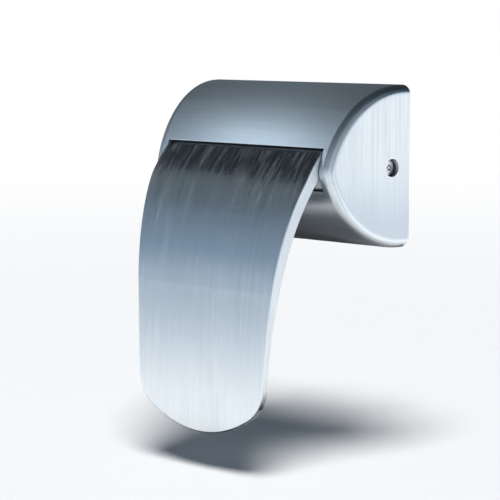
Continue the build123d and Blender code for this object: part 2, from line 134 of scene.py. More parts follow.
# %% Build the grain group
FINE_SHARE = 0.6
STREAK_RANGE = (0.32, 0.68)
SCRATCH_RANGE = (0.68, 0.76)


def new_group(name, inputs, outputs):
    """An empty group with inputs of the given kinds and number outputs; gives tree, inputs and outputs."""
    tree = bpy.data.node_groups.new(name, "ShaderNodeTree")
    for socket_name, kind in inputs.items():
        tree.interface.new_socket(socket_name, in_out="INPUT", socket_type=f"NodeSocket{kind}")
    for socket_name in outputs:
        tree.interface.new_socket(socket_name, in_out="OUTPUT", socket_type="NodeSocketFloat")
    return tree, tree.nodes.new("NodeGroupInput").outputs, tree.nodes.new("NodeGroupOutput").inputs


def place_group(tree, group, **values):
    """Puts a node group into a tree and gives its inputs their values."""
    return add_node(tree, "ShaderNodeGroup", node_tree=group, **values)


def vector_math(tree, operation, first, second=None):
    """A Vector Math node; gives the output socket that its operation uses."""
    node = add_node(tree, "ShaderNodeVectorMath", operation=operation)
    for socket, value in zip(node.inputs, (first, second)):
        if value is not None:
            feed(tree, value, socket)
    return node.outputs["Value" if operation in ("DOT_PRODUCT", "LENGTH") else "Vector"]


def noise(tree, vector, scale, detail, roughness, distortion=0.0):
    """A Noise texture read at a vector; gives its value's socket."""
    settings = {"Scale": scale, "Detail": detail, "Roughness": roughness, "Distortion": distortion}
    return add_node(tree, "ShaderNodeTexNoise", Vector=vector, **settings).outputs[0]


def build_grain_group():
    """Brush lines along the direction in which Stretch is small, with a few deeper scratches."""
    tree, given, result = new_group(
        "brushed_grain",
        {"Vector": "Vector", "Stretch": "Vector", "Scratch Amount": "Float"},
        ("Streak", "Scratch", "Height"),
    )
    stretched = vector_math(tree, "MULTIPLY", given["Vector"], given["Stretch"])
    fine = noise(tree, stretched, scale=1.0, detail=3.0, roughness=0.65)
    broad = noise(tree, stretched, scale=0.22, detail=2.0, roughness=0.5)
    deep = noise(tree, stretched, scale=0.55, detail=1.0, roughness=0.4)
    blended = math_node(tree, "ADD", times(tree, fine, FINE_SHARE), times(tree, broad, 1.0 - FINE_SHARE))
    streak = map_range(tree, blended, *STREAK_RANGE)
    scratch = map_range(tree, deep, *SCRATCH_RANGE)
    scratch = math_node(tree, "MULTIPLY", scratch, given["Scratch Amount"], clamp=True)
    tree.links.new(streak, result["Streak"])
    tree.links.new(scratch, result["Scratch"])
    tree.links.new(math_node(tree, "SUBTRACT", streak, scratch), result["Height"])
    return tree


GRAIN = build_grain_group()
print("shared group:", GRAIN.name)

# %% [markdown]
# ## Shared groups: edge polish, handling marks and crevices
# Three more groups tell a material where it has been used and where it lies in shade. One finds edges,
# where hands and cloths polish metal brighter, by comparing the true normal with one rounded by a Bevel
# node. One lays down large soft patches where skin oil dulls or glazes the metal. One finds places that
# are shut in, as gaps and corners are, with an Ambient Occlusion node; the steel paints shade there.

# %% Build the groups for wear
EDGE_RANGE = (0.01, 0.16)
PATCH_RANGE = (0.45, 0.72)
SPECK_RANGE = (0.35, 0.75)
SHUT_RANGE = (0.75, 0.15)


def give_mask(tree, mask, given, result):
    """Sends a mask out of its group, scaled by the group's Amount."""
    tree.links.new(math_node(tree, "MULTIPLY", mask, given["Amount"], clamp=True), result["Mask"])


def normal_of(tree):
    """The surface's normal, as a socket."""
    return tree.nodes.new("ShaderNodeNewGeometry").outputs["Normal"]


def build_edge_group():
    """White on convex and concave edges, black on flat places."""
    tree, given, result = new_group("edge_polish", {"Radius": "Float", "Amount": "Float"}, ("Mask",))
    bevel = add_node(tree, "ShaderNodeBevel", samples=4, Radius=given["Radius"])
    alike = vector_math(tree, "DOT_PRODUCT", bevel.outputs["Normal"], normal_of(tree))
    turned = math_node(tree, "SUBTRACT", 1.0, alike)
    give_mask(tree, map_range(tree, turned, *EDGE_RANGE, smooth=True), given, result)
    return tree


def build_marks_group():
    """Soft blotches of handling, and a finer dusting inside them."""
    tree, given, result = new_group(
        "handling_marks", {"Vector": "Vector", "Size": "Float", "Amount": "Float"}, ("Mask",)
    )
    per_metre = math_node(tree, "DIVIDE", 1.0, given["Size"])
    scaled = add_node(
        tree, "ShaderNodeVectorMath", operation="SCALE", Vector=given["Vector"], Scale=per_metre
    ).outputs["Vector"]
    cloud = noise(tree, scaled, scale=1.0, detail=4.0, roughness=0.55, distortion=0.4)
    dust = noise(tree, scaled, scale=9.0, detail=3.0, roughness=0.7)
    patch = map_range(tree, cloud, *PATCH_RANGE, smooth=True)
    speck = map_range(tree, dust, *SPECK_RANGE)
    give_mask(tree, math_node(tree, "MULTIPLY", patch, speck), given, result)
    return tree


def build_crevice_group():
    """White where a surface is shut in by others, as in a gap or a corner, and black in the open."""
    tree, given, result = new_group("crevice_shade", {"Depth": "Float", "Amount": "Float"}, ("Mask",))
    open_sky = add_node(tree, "ShaderNodeAmbientOcclusion", samples=8, Distance=given["Depth"])
    give_mask(tree, map_range(tree, open_sky.outputs["AO"], *SHUT_RANGE, smooth=True), given, result)
    return tree


EDGES = build_edge_group()
MARKS = build_marks_group()
CREVICES = build_crevice_group()
print("shared groups:", [group.name for group in (EDGES, MARKS, CREVICES)])

# %% [markdown]
# ## Brushed steel: lines, wear and painted shade
# The housing is brushed from end to end and the paddle from root to tip, and faces that look sideways, such
# as the housing's flat ends, are brushed upright. The streaks drive three things at once: a small change of
# colour, a small change of roughness, and a bump. Over them lie pale scratches, patches of skin oil, edges
# that are brighter and smoother, and a dark colour in gaps and corners that is painted shade.

# %% Lay brush lines, wear and painted shade
SIDE_GRAIN = (3200.0, 3200.0, 40.0)
SIDE_GRAIN_RANGE = (0.80, 0.96)
ROUGHNESS_SWING = 0.05
OIL_ROUGHNESS = 0.05
POLISH_SMOOTHNESS = 0.10
SCRATCH_SHARE = 0.5
OIL_SHARE = 0.15
PALE_SCRATCH = (0.92, 0.94, 0.96)
SKIN_OIL = (0.58, 0.60, 0.62)
POLISHED_EDGE = (0.92, 0.94, 0.95)
# The dark colour of the painted shade in gaps and corners.
PAINTED_CREVICE_SHADE = (0.025, 0.026, 0.028)


def split_axes(tree, vector):
    """The X, Y and Z of a vector, as sockets."""
    return add_node(tree, "ShaderNodeSeparateXYZ", Vector=vector).outputs


def mix(tree, factor, first, second, kind="RGBA"):
    """A Mix node for colours, or for vectors where kind is VECTOR; gives its output socket."""
    node = add_node(tree, "ShaderNodeMix", data_type=kind)
    pair = [socket for socket in node.inputs if socket.type == kind][-2:]
    for socket, value in zip((node.inputs[0], *pair), (factor, first, second)):
        feed(tree, value, socket)
    return next(socket for socket in node.outputs if socket.type == kind)


def side_mask(tree, low, high):
    """White on faces that look along X: the ends of the housing and the sides of the paddle."""
    sideways = math_node(tree, "ABSOLUTE", split_axes(tree, normal_of(tree))["X"])
    return map_range(tree, sideways, low, high, smooth=True)


def lay_steel(tree, place, dark, light, stretch, roughness):
    """Brushed steel with wear, and painted shade in its gaps and corners; gives the sockets of its colour,
    roughness and height.
    """
    turned = mix(tree, side_mask(tree, *SIDE_GRAIN_RANGE), stretch, SIDE_GRAIN, "VECTOR")
    grain = place_group(tree, GRAIN, Vector=place, Stretch=turned, Scratch_Amount=0.45).outputs
    edges = place_group(tree, EDGES, Radius=0.6 * MM, Amount=0.8).outputs["Mask"]
    marks = place_group(tree, MARKS, Vector=place, Size=35 * MM, Amount=0.45).outputs["Mask"]
    crevices = place_group(tree, CREVICES, Depth=5 * MM, Amount=0.9).outputs["Mask"]
    colour = mix(tree, grain["Streak"], dark, light)
    colour = mix(tree, times(tree, grain["Scratch"], SCRATCH_SHARE), colour, PALE_SCRATCH)
    colour = mix(tree, times(tree, marks, OIL_SHARE), colour, SKIN_OIL)
    colour = mix(tree, edges, colour, POLISHED_EDGE)
    # Painted shade: the colour goes dark where other surfaces shut this one in.
    colour = mix(tree, crevices, colour, PAINTED_CREVICE_SHADE)
    dull, glossy = roughness + ROUGHNESS_SWING, roughness - ROUGHNESS_SWING
    rough = map_range(tree, grain["Streak"], 0.0, 1.0, dull, glossy)
    rough = math_node(tree, "ADD", rough, times(tree, marks, OIL_ROUGHNESS))
    rough = math_node(tree, "SUBTRACT", rough, times(tree, edges, POLISH_SMOOTHNESS), clamp=True)
    return colour, rough, grain["Height"]


print("brush lines on side faces:", SIDE_GRAIN, "per metre")

# %% [markdown]
# ## Begin and end a material
# Each material starts as an empty tree with one Principled shader, and ends with the same four inputs: base
# colour, roughness, how much of it is metal, and a height that a Bump node turns into small slopes. Both
# ends are written once, so that each finish below is only what lies between.

# %% Begin and end a material
def blank_material(name):
    """A material whose tree holds only its output; gives the material, the tree and the output node."""
    material = bpy.data.materials.new(name)
    material.use_nodes = True
    tree = material.node_tree
    tree.nodes.clear()
    return material, tree, tree.nodes.new("ShaderNodeOutputMaterial")


def object_place(tree):
    """The point that is shaded, in metres from the object's origin, as a socket."""
    return tree.nodes.new("ShaderNodeTexCoord").outputs["Object"]


def new_material(name):
    """A material with a Principled BSDF; gives the material, its tree, the shader and the shaded point."""
    material, tree, output = blank_material(name)
    shader = tree.nodes.new("ShaderNodeBsdfPrincipled")
    tree.links.new(shader.outputs[0], output.inputs["Surface"])
    return material, tree, shader, object_place(tree)


def finish_shader(tree, shader, colour, roughness, height, bump, depth, metallic=1.0):
    """Feeds a material's sockets into its shader; bump and depth are the bump's strength and distance."""
    raised = add_node(tree, "ShaderNodeBump", Strength=bump, Distance=depth, Height=height).outputs["Normal"]
    feed(tree, colour, shader.inputs["Base Color"])
    feed(tree, roughness, shader.inputs["Roughness"])
    feed(tree, metallic, shader.inputs["Metallic"])
    feed(tree, raised, shader.inputs["Normal"])


print("materials so far:", len(bpy.data.materials))

# %% [markdown]
# ## Brushed steel: highlights
# Metal has almost no colour of its own, so its look is what it mirrors, smeared across the grain. Anisotropy
# on the shader does the smearing, and its tangent has to lie across the grain: round the section on the
# housing, across the plate on the paddle, and level on faces that look sideways. The housing's underside is
# the exception: there the tangent runs from end to end, so that it mirrors the shade below the handle and
# not the bright room. The paddle also has short pale hairs, where a little of the metal scatters light
# like paint instead of mirroring it.

# %% Make the paddle's steel
SATIN_DARK = (0.81, 0.87, 0.91)
SATIN_LIGHT = (0.92, 0.95, 0.97)
BRUSH_DEPTH = 0.02 * MM
SIDE_TANGENT_RANGE = (0.82, 0.97)
UNDERSIDE_RANGE = (-0.35, -0.70)
ALONG_X, ALONG_Y = (1.0, 0.0, 0.0), (0.0, 1.0, 0.0)
HAIR_STRETCH = (2300.0, 130.0, 130.0)
HAIR_RANGE = (0.40, 0.85)


def lay_tangent(tree, shader, round_section):
    """Turns the highlights' smear across the grain; round_section is for the housing's arch."""
    across = add_node(tree, "ShaderNodeCombineXYZ", X=1.0).outputs[0]
    if round_section:
        around = vector_math(tree, "CROSS_PRODUCT", normal_of(tree), across)
        below = map_range(tree, split_axes(tree, normal_of(tree))["Z"], *UNDERSIDE_RANGE, smooth=True)
        across = mix(tree, below, around, ALONG_X, "VECTOR")
    level = mix(tree, side_mask(tree, *SIDE_TANGENT_RANGE), across, ALONG_Y, "VECTOR")
    tree.links.new(level, shader.inputs["Tangent"])


def finish_steel(tree, shader, steel, bump, anisotropic, round_section=False):
    """Finishes a shader with steel's colour, roughness and height, and with smeared highlights."""
    colour, rough, height = steel
    finish_shader(tree, shader, colour, rough, height, bump, BRUSH_DEPTH)
    shader.distribution = "GGX"
    shader.inputs["Anisotropic"].default_value = anisotropic
    lay_tangent(tree, shader, round_section)


def lay_hairs(tree, shader, place, amount):
    """Short pale hairs in the brushing, where the surface is a little less metal."""
    grain = place_group(tree, GRAIN, Vector=place, Stretch=HAIR_STRETCH, Scratch_Amount=0.0)
    hairs = map_range(tree, grain.outputs["Streak"], *HAIR_RANGE, 0.0, amount, smooth=True)
    tree.links.new(math_node(tree, "SUBTRACT", 1.0, hairs), shader.inputs["Metallic"])


def brushed_steel(name, dark, light, stretch, roughness, anisotropic, hairs=0.0):
    """Brushed steel whose lines run where stretch is small."""
    material, tree, shader, place = new_material(name)
    steel = lay_steel(tree, place, dark, light, stretch, roughness)
    finish_steel(tree, shader, steel, bump=0.12, anisotropic=anisotropic)
    if hairs:
        lay_hairs(tree, shader, place, hairs)
    return material


PADDLE_STEEL = brushed_steel(
    "paddle_steel",
    SATIN_DARK,
    SATIN_LIGHT,
    stretch=(3000.0, 50.0, 50.0),
    roughness=0.40,
    anisotropic=1.0,
    hairs=0.07,
)
print("brushed steel:", PADDLE_STEEL.name)

# %% [markdown]
# ## Brushed outside, cast inside
# The housing is one casting. Its outside is brushed, but inside no brush can reach, so the skin stays as the
# mould left it: dull, grainy and a little darker. Both skins are on one solid, so the material itself tells
# them apart: a point that lies deeper than half a wall below the outer form is inside. The outer form is
# simple, two arcs and two sloping ends, so a few Math nodes measure that depth.

# %% Make the housing's two skins
SECTION_RADIUS = 49.98 * MM
SECTION_DROP = 12.48 * MM
BACK_STRAIGHT = 2.4 * MM
END_SLOPE = math.radians(8.5)
HALF_WALL = 1.25 * MM
SKIN_BLEND = 1.2
HOUSING_STRETCH = (35.0, 3400.0, 3400.0)
CAST_DARK = (0.20, 0.205, 0.21)
CAST_LIGHT = (0.42, 0.42, 0.42)
CAST_ROUGHNESS = 0.12
CAST_GRAIN_HEIGHT = 4.0


def inside_mask(tree, place, half_width):
    """White on the faces inside the housing, black on the outer ones."""
    point = split_axes(tree, place)
    along = math_node(tree, "ADD", point["Y"], BACK_STRAIGHT)
    high = math_node(tree, "ADD", math_node(tree, "ABSOLUTE", point["Z"]), SECTION_DROP)
    arm = add_node(tree, "ShaderNodeCombineXYZ", Y=along, Z=high).outputs[0]
    under_arc = math_node(tree, "SUBTRACT", SECTION_RADIUS, vector_math(tree, "LENGTH", arm))
    end_here = math_node(tree, "ADD", times(tree, point["Y"], math.tan(END_SLOPE)), half_width)
    under_end = math_node(tree, "SUBTRACT", end_here, math_node(tree, "ABSOLUTE", point["X"]))
    depth = math_node(tree, "MINIMUM", under_arc, under_end)
    return map_range(tree, depth, HALF_WALL, HALF_WALL * SKIN_BLEND)


def cast_housing_steel():
    """Brushed outside, raw casting inside."""
    material, tree, shader, place = new_material("housing_steel")
    colour, rough, height = lay_steel(tree, place, SATIN_DARK, SATIN_LIGHT, HOUSING_STRETCH, roughness=0.34)
    inside = inside_mask(tree, place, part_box("housing")[1][0])
    skin = noise(tree, place, scale=900.0, detail=4.0, roughness=0.6)
    colour = mix(tree, inside, colour, mix(tree, skin, CAST_DARK, CAST_LIGHT))
    rough = math_node(tree, "ADD", rough, times(tree, inside, CAST_ROUGHNESS), clamp=True)
    grains = times(tree, math_node(tree, "MULTIPLY", skin, inside), CAST_GRAIN_HEIGHT)
    height = math_node(tree, "ADD", height, grains)
    finish_steel(tree, shader, (colour, rough, height), bump=0.08, anisotropic=1.0, round_section=True)
    return material


HOUSING_STEEL = cast_housing_steel()
print("housing steel:", HOUSING_STEEL.name)

# %% [markdown]
# ## Plated sheet, bronze and rubber
# The inner pieces are seen from behind, through the open back, and each gets the marks of how it was made.
# The bracket and the slide are zinc-plated sheet, cloudy with faint rainbow tints. The bushes are bronze
# that is pressed from powder, so fine pores show. The bumpers are moulded rubber with a dull, dusty skin.

# %% Make plating, bronze and rubber
ZINC_BLUE = (0.62, 0.64, 0.68)
ZINC_YELLOW = (0.70, 0.68, 0.60)
ZINC_CLOUD = (0.48, 0.49, 0.50)
ZINC_EDGE = (0.82, 0.82, 0.80)
BRONZE_PORE = (0.30, 0.20, 0.11)
BRONZE_FACE = (0.66, 0.47, 0.27)
BRONZE_EDGE = (0.85, 0.66, 0.42)
RUBBER_BLACK = (0.022, 0.022, 0.024)
RUBBER_DUST = (0.16, 0.16, 0.16)
TINT_RANGE = (0.35, 0.65)
PORE_RANGE = (0.0, 0.35)
SKIN_RANGE = (0.3, 0.7)
ZINC_ROUGHNESS = (0.30, 0.46)
BRONZE_ROUGHNESS = (0.6, 0.36)
RUBBER_ROUGHNESS = (0.62, 0.82)


def plated_sheet():
    """Zinc plating: cloudy, with pale yellow and blue tints."""
    material, tree, shader, place = new_material("plated_sheet")
    marks = place_group(tree, MARKS, Vector=place, Size=12 * MM, Amount=1.0).outputs["Mask"]
    edges = place_group(tree, EDGES, Radius=0.5 * MM, Amount=0.7).outputs["Mask"]
    grain = place_group(tree, GRAIN, Vector=place, Stretch=(900.0, 900.0, 900.0), Scratch_Amount=0.5).outputs
    tint = noise(tree, place, scale=38.0, detail=2.0, roughness=0.5, distortion=1.2)
    colour = mix(tree, map_range(tree, tint, *TINT_RANGE, smooth=True), ZINC_BLUE, ZINC_YELLOW)
    colour = mix(tree, times(tree, marks, 0.5), colour, ZINC_CLOUD)
    colour = mix(tree, edges, colour, ZINC_EDGE)
    rough = map_range(tree, grain["Streak"], 0.0, 1.0, *ZINC_ROUGHNESS)
    finish_shader(tree, shader, colour, rough, grain["Height"], bump=0.15, depth=0.02 * MM)
    return material


def porous_bronze():
    """Bronze pressed from powder: warm, with fine dark pores."""
    material, tree, shader, place = new_material("porous_bronze")
    pores = add_node(tree, "ShaderNodeTexVoronoi", Vector=place, Scale=2600.0)
    pit = map_range(tree, pores.outputs["Distance"], *PORE_RANGE)
    edges = place_group(tree, EDGES, Radius=0.3 * MM, Amount=0.8).outputs["Mask"]
    colour = mix(tree, edges, mix(tree, pit, BRONZE_PORE, BRONZE_FACE), BRONZE_EDGE)
    rough = map_range(tree, pit, 0.0, 1.0, *BRONZE_ROUGHNESS)
    finish_shader(tree, shader, colour, rough, pit, bump=0.3, depth=0.03 * MM)
    return material


def moulded_rubber():
    """Black rubber with a dull skin and a little dust."""
    material, tree, shader, place = new_material("moulded_rubber")
    marks = place_group(tree, MARKS, Vector=place, Size=4 * MM, Amount=0.8).outputs["Mask"]
    skin = noise(tree, place, scale=2400.0, detail=3.0, roughness=0.6)
    colour = mix(tree, times(tree, marks, 0.4), RUBBER_BLACK, RUBBER_DUST)
    rough = map_range(tree, skin, *SKIN_RANGE, *RUBBER_ROUGHNESS)
    finish_shader(tree, shader, colour, rough, skin, bump=0.3, depth=0.03 * MM, metallic=0.0)
    return material


PLATED = plated_sheet()
BRONZE = porous_bronze()
RUBBER = moulded_rubber()
print("inner finishes:", [material.name for material in (PLATED, BRONZE, RUBBER)])

# %% [markdown]
# ## Turned steel, spindle and spring wire
# Round pieces come off a lathe, which leaves fine rings about their own axis. The noise is therefore read at
# the distance from that axis, and the axis differs from piece to piece, so each screw gets a steel of its
# own. The square spindle and the spring wire are drawn through a die, and reuse the brushed steel.

# %% Make the other steels
RINGS_PER_METRE = 3200.0
RING_RANGE = (0.3, 0.7)
RING_SWING = 0.06
TURNED_EDGE = (0.80, 0.81, 0.83)
X_AXIS, Y_AXIS = 0, 1
ORIGIN = (0.0, 0.0, 0.0)


def box_middle(node):
    """The middle of a node's box."""
    low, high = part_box(node)
    return (low + high) / 2


def turned_steel(name, dark, light, axis, centre, roughness):
    """Steel with lathe rings round an axis through centre; axis is the index of X, Y or Z."""
    material, tree, shader, place = new_material(name)
    off_axis = [0.0 if index == axis else 1.0 for index in range(3)]
    arm = vector_math(tree, "MULTIPLY", vector_math(tree, "SUBTRACT", place, centre), off_axis)
    across = times(tree, vector_math(tree, "LENGTH", arm), RINGS_PER_METRE)
    along = times(tree, split_axes(tree, place)[axis], RINGS_PER_METRE)
    rings = add_node(tree, "ShaderNodeCombineXYZ", X=across, Y=along).outputs[0]
    line = map_range(tree, noise(tree, rings, scale=1.0, detail=2.0, roughness=0.6), *RING_RANGE)
    edges = place_group(tree, EDGES, Radius=0.35 * MM, Amount=0.9).outputs["Mask"]
    colour = mix(tree, edges, mix(tree, line, dark, light), TURNED_EDGE)
    rough = map_range(tree, line, 0.0, 1.0, roughness + RING_SWING, roughness - RING_SWING)
    finish_shader(tree, shader, colour, rough, line, bump=0.2, depth=0.015 * MM)
    return material


def screw_steels(start, dark, light, axis, roughness):
    """A turned steel for each screw whose name begins with start, by node."""
    return {
        node: turned_steel(f"{node}_steel", dark, light, axis, box_middle(node), roughness)
        for node in sorted(nodes)
        if node.startswith(start)
    }


PIVOT = box_middle("pivot_axle")
AXLE_STEEL = turned_steel("axle_steel", (0.40, 0.41, 0.43), (0.56, 0.57, 0.59), X_AXIS, PIVOT, 0.28)
ROTOR_STEEL = turned_steel("rotor_steel", (0.36, 0.37, 0.39), (0.52, 0.53, 0.55), Y_AXIS, ORIGIN, 0.30)
CLIP_STEEL = turned_steel("clip_steel", (0.14, 0.14, 0.15), (0.24, 0.24, 0.25), X_AXIS, PIVOT, 0.34)
SPINDLE_STEEL = brushed_steel(
    "spindle_steel", (0.42, 0.43, 0.45), (0.60, 0.61, 0.63), (1800.0, 60.0, 1800.0), 0.36, anisotropic=0.3
)
WIRE_STEEL = brushed_steel(
    "wire_steel", (0.22, 0.22, 0.23), (0.36, 0.36, 0.38), (2600.0, 300.0, 300.0), 0.32, anisotropic=0.0
)
HOUSING_SCREW_STEELS = screw_steels("housing_screw", (0.46, 0.48, 0.51), (0.62, 0.64, 0.67), X_AXIS, 0.26)
FIXING_SCREW_STEELS = screw_steels("door_screw", (0.50, 0.50, 0.48), (0.66, 0.66, 0.63), Y_AXIS, 0.30)
print("finishes:", len(bpy.data.materials), "materials in all")

# %% [markdown]
# ## Dress the construction
# The solids of the frame have the right shapes already, so each only needs its finish. A table from the
# start of a node's name to its material keeps left and right pieces alike. The screws come first in it,
# because the name of a housing screw also starts like that of the housing.

# %% Give each node its finish
FINISHES = {
    **HOUSING_SCREW_STEELS,
    **FIXING_SCREW_STEELS,
    "housing": HOUSING_STEEL,
    "paddle": PADDLE_STEEL,
    "mounting_bracket": PLATED,
    "drive_slide": PLATED,
    "guide_stud": PLATED,
    "crank_rotor": ROTOR_STEEL,
    "square_spindle": SPINDLE_STEEL,
    "pivot_axle": AXLE_STEEL,
    "pivot_bush": BRONZE,
    "axle_clip": CLIP_STEEL,
    "return_spring": WIRE_STEEL,
    "rest_bumper": RUBBER,
}

for node, piece in nodes.items():
    for slot in piece.material_slots:
        slot.material = next(material for start, material in FINISHES.items() if node.startswith(start))
print("dressed", len(nodes), "nodes")

# %% [markdown]
# ## Coiled return springs
# In the frame each return spring is a stack of closed rings, which is right for its size and weight but isn't
# a spring. The real one is a single wire: it leaves the paddle's ledge, winds round the axle, and its other
# leg bends back to the bracket's ledge. First come the points along that path.

# %% Lay out the path of the wire
WIRE_RADIUS = 0.8 * MM
COIL_TURNS = 3
POINTS_PER_TURN = 24
REAR_BEND = 1.6 * MM
BEND_STEPS = 4


def spring_path(low, high, outward):
    """Points of the wire from the front leg's end, round the coil, to the rear leg's end."""
    radius = (high.z - low.z) / 2 - WIRE_RADIUS
    inner = (low.x if outward > 0 else high.x) + outward * WIRE_RADIUS
    outer = (high.x if outward > 0 else low.x) - outward * WIRE_RADIUS
    top = PIVOT.z + radius
    points = [Vector((outer, low.y, top)), Vector((outer, (low.y + PIVOT.y) / 2, top))]
    steps = COIL_TURNS * POINTS_PER_TURN + POINTS_PER_TURN // 4
    for step in range(steps + 1):
        turn = 2 * math.pi * step / POINTS_PER_TURN
        across = outer + (inner - outer) * step / steps
        points.append(Vector((across, PIVOT.y + radius * math.sin(turn), PIVOT.z + radius * math.cos(turn))))
    back, bottom = PIVOT.y + radius, PIVOT.z - radius
    for step in range(BEND_STEPS + 1):
        bend = math.pi / 2 * step / BEND_STEPS
        behind, above = REAR_BEND * (1 - math.cos(bend)), REAR_BEND * (1 - math.sin(bend))
        points.append(Vector((inner, back + behind, bottom + above)))
    points.append(Vector((inner, high.y, bottom)))
    return points, inner, outer


print("wire:", round(WIRE_RADIUS / MM, 2), "mm in radius,", COIL_TURNS, "turns and a quarter")


def add_object(name, data):
    """Makes an object from mesh, curve, lamp or camera data and puts it in the scene."""
    thing = bpy.data.objects.new(name, data)
    bpy.context.collection.objects.link(thing)
    return thing


def wire_mesh(side, points):
    """A round wire along the points, as a mesh."""
    data = bpy.data.curves.new(f"coiled_spring_{side}", "CURVE")
    data.dimensions = "3D"
    data.bevel_depth = WIRE_RADIUS
    data.bevel_resolution = 3
    data.use_fill_caps = True
    wire = data.splines.new("POLY")
    wire.points.add(len(points) - 1)
    for point, place in zip(wire.points, points):
        point.co = (*place, 1.0)
    curve = add_object(f"wire_guide_{side}", data)
    bpy.context.view_layer.update()
    mesh = bpy.data.meshes.new_from_object(curve.evaluated_get(bpy.context.evaluated_depsgraph_get()))
    bpy.data.objects.remove(curve)
    mesh.materials.clear()
    mesh.materials.append(WIRE_STEEL)
    mesh.shade_smooth()
    return mesh


def wind_spring(side, outward):
    """One return spring as a single wire, twisting between the bracket and the paddle."""
    node = f"return_spring_{side}"
    low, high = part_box(node)
    points, inner, outer = spring_path(low, high, outward)
    spring = add_object(f"coiled_spring_{side}", wire_mesh(side, points))
    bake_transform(spring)
    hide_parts(node)
    return spring


for side, outward in {"left": -1, "right": 1}.items():
    spring = wind_spring(side, outward)
    print(spring.name, len(spring.data.vertices), "points")

# %% [markdown]
# ## Screw threads
# The frame's screws have plain shanks. A thread is a height over a cylinder: going round once moves the whole
# pattern along by one pitch. So each shank is a grid of points, wrapped into a tube, whose radius dips by the
# thread's depth according to where it is along and around.

# %% Shape the thread
THREAD_PITCH = 0.8 * MM
THREAD_DEPTH = 0.42 * MM
FLANK_SLOPE = 2.7
ROWS_PER_PITCH = 8
POINTS_AROUND = 32
SHANK_RADIUS = 2.5 * MM
TIP_BEVEL = 0.6 * MM
THREAD_START = -0.3 * MM


def thread_radius(turn, along, length):
    """Radius of the thread at an angle in turns and a distance from its start."""
    phase = (along / THREAD_PITCH - turn) % 1.0
    ridge = min(1.0, max(0.0, FLANK_SLOPE * (0.5 - abs(phase - 0.5))))
    fade = min(1.0, along / (2 * THREAD_PITCH))
    radius = SHANK_RADIUS - THREAD_DEPTH * (1.0 - ridge) * fade
    return min(radius, SHANK_RADIUS - TIP_BEVEL * max(0.0, 1 - (length - along) / TIP_BEVEL))


def add_thread(shape, middle, length):
    """Adds a closed threaded shank to a bmesh, from THREAD_START backwards."""
    rows = int(length / THREAD_PITCH * ROWS_PER_PITCH)
    rings = []
    for row in range(rows + 1):
        along = length * row / rows
        ring = []
        for index in range(POINTS_AROUND):
            turn = index / POINTS_AROUND
            angle = 2 * math.pi * turn
            radius = thread_radius(turn, along, length)
            across, up = radius * math.cos(angle), radius * math.sin(angle)
            ring.append(shape.verts.new((middle.x + across, THREAD_START + along, middle.z + up)))
        rings.append(ring)
    for first, second in zip(rings, rings[1:]):
        for index in range(POINTS_AROUND):
            after = (index + 1) % POINTS_AROUND
            shape.faces.new((first[index], first[after], second[after], second[index]))
    shape.faces.new(rings[0][::-1])
    shape.faces.new(rings[-1])


print("thread:", round(THREAD_PITCH / MM, 2), "mm pitch,", round(THREAD_DEPTH / MM, 2), "mm deep")

# %% [markdown]
# The pan head and its cross recess are kept from the frame: the screw's mesh is copied, cut off flat behind
# the shoulder and closed, and the threaded shank is added to it.

# %% Fit the thread to the screws
CUT_PLACE = -0.08 * MM
MERGE_DISTANCE = 0.001 * MM
SHARP_ANGLE = math.radians(35)


def mesh_from(name, shape, material):
    """Turns a bmesh into a mesh with one material."""
    mesh = bpy.data.meshes.new(name)
    shape.to_mesh(mesh)
    shape.free()
    mesh.materials.append(material)
    return mesh


def threaded_screw(node):
    """The frame's head and shoulder with a threaded shank."""
    low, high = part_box(node)
    shape = bmesh.new()
    shape.from_mesh(nodes[node].data)
    shape.transform(nodes[node].matrix_world)
    bmesh.ops.remove_doubles(shape, verts=shape.verts[:], dist=MERGE_DISTANCE)
    everything = shape.verts[:] + shape.edges[:] + shape.faces[:]
    bmesh.ops.bisect_plane(
        shape, geom=everything, plane_co=(0.0, CUT_PLACE, 0.0), plane_no=(0.0, 1.0, 0.0), clear_outer=True
    )
    bmesh.ops.holes_fill(shape, edges=[edge for edge in shape.edges if edge.is_boundary])
    add_thread(shape, (low + high) / 2, high.y - THREAD_START)
    bmesh.ops.recalc_face_normals(shape, faces=shape.faces[:])
    mesh = mesh_from(f"threaded_{node}", shape, FIXING_SCREW_STEELS[node])
    mesh.shade_smooth()
    mesh.set_sharp_from_angle(angle=SHARP_ANGLE)
    screw = add_object(f"threaded_{node}", mesh)
    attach(screw, "base")
    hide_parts(node)
    return screw


for node in sorted(FIXING_SCREW_STEELS):
    screw = threaded_screw(node)
    print(screw.name, len(screw.data.vertices), "points")

# %% [markdown]
# ## A room for the steel to mirror
# Brushed steel is only as good as what it mirrors, so the studio is built for its reflections. The dome is
# pale at eye level and slate blue to nearly black above, which gives the paddle its dark shoulder and bright
# tip. Its upper left is dimmer, as a room away from its windows would be. Rays that come straight from the
# camera see plain white, so the dome shapes the steel without being in the picture.

# %% Build the dome
WHITE = (1.0, 1.0, 1.0)
STUDIO_BLUE = (0.62, 0.98, 1.42)
HORIZON_BLUE = (0.84, 1.0, 1.17)
DARK_TONE = (0.045, 0.047, 0.052)
BLUE_FROM = 15
SKY_LEVELS = (
    (-90, 1.0), (0, 0.56), (4, 0.50), (9, 0.40), (15, 0.29), (24, 0.13), (34, 0.03), (48, 0.01), (90, 0.008)
)
DIM_SIDE = Vector((-0.92, 0.15, 0.35)).normalized()
DIM_RANGE = (0.55, 0.97)
DIM_MOST = 0.7
DIM_ABOVE = 0.25


def colour_ramp(tree, value, stops):
    """A Color Ramp with (position, level, tint) stops, read at a value; gives its colour socket."""
    ramp = tree.nodes.new("ShaderNodeValToRGB")
    elements = ramp.color_ramp.elements
    while len(elements) < len(stops):
        elements.new(0.5)
    for element, (position, level, tint) in zip(elements, stops):
        element.position = position
        element.color = (*[level * channel for channel in tint], 1.0)
    tree.links.new(value, ramp.inputs[0])
    return ramp.outputs["Color"]


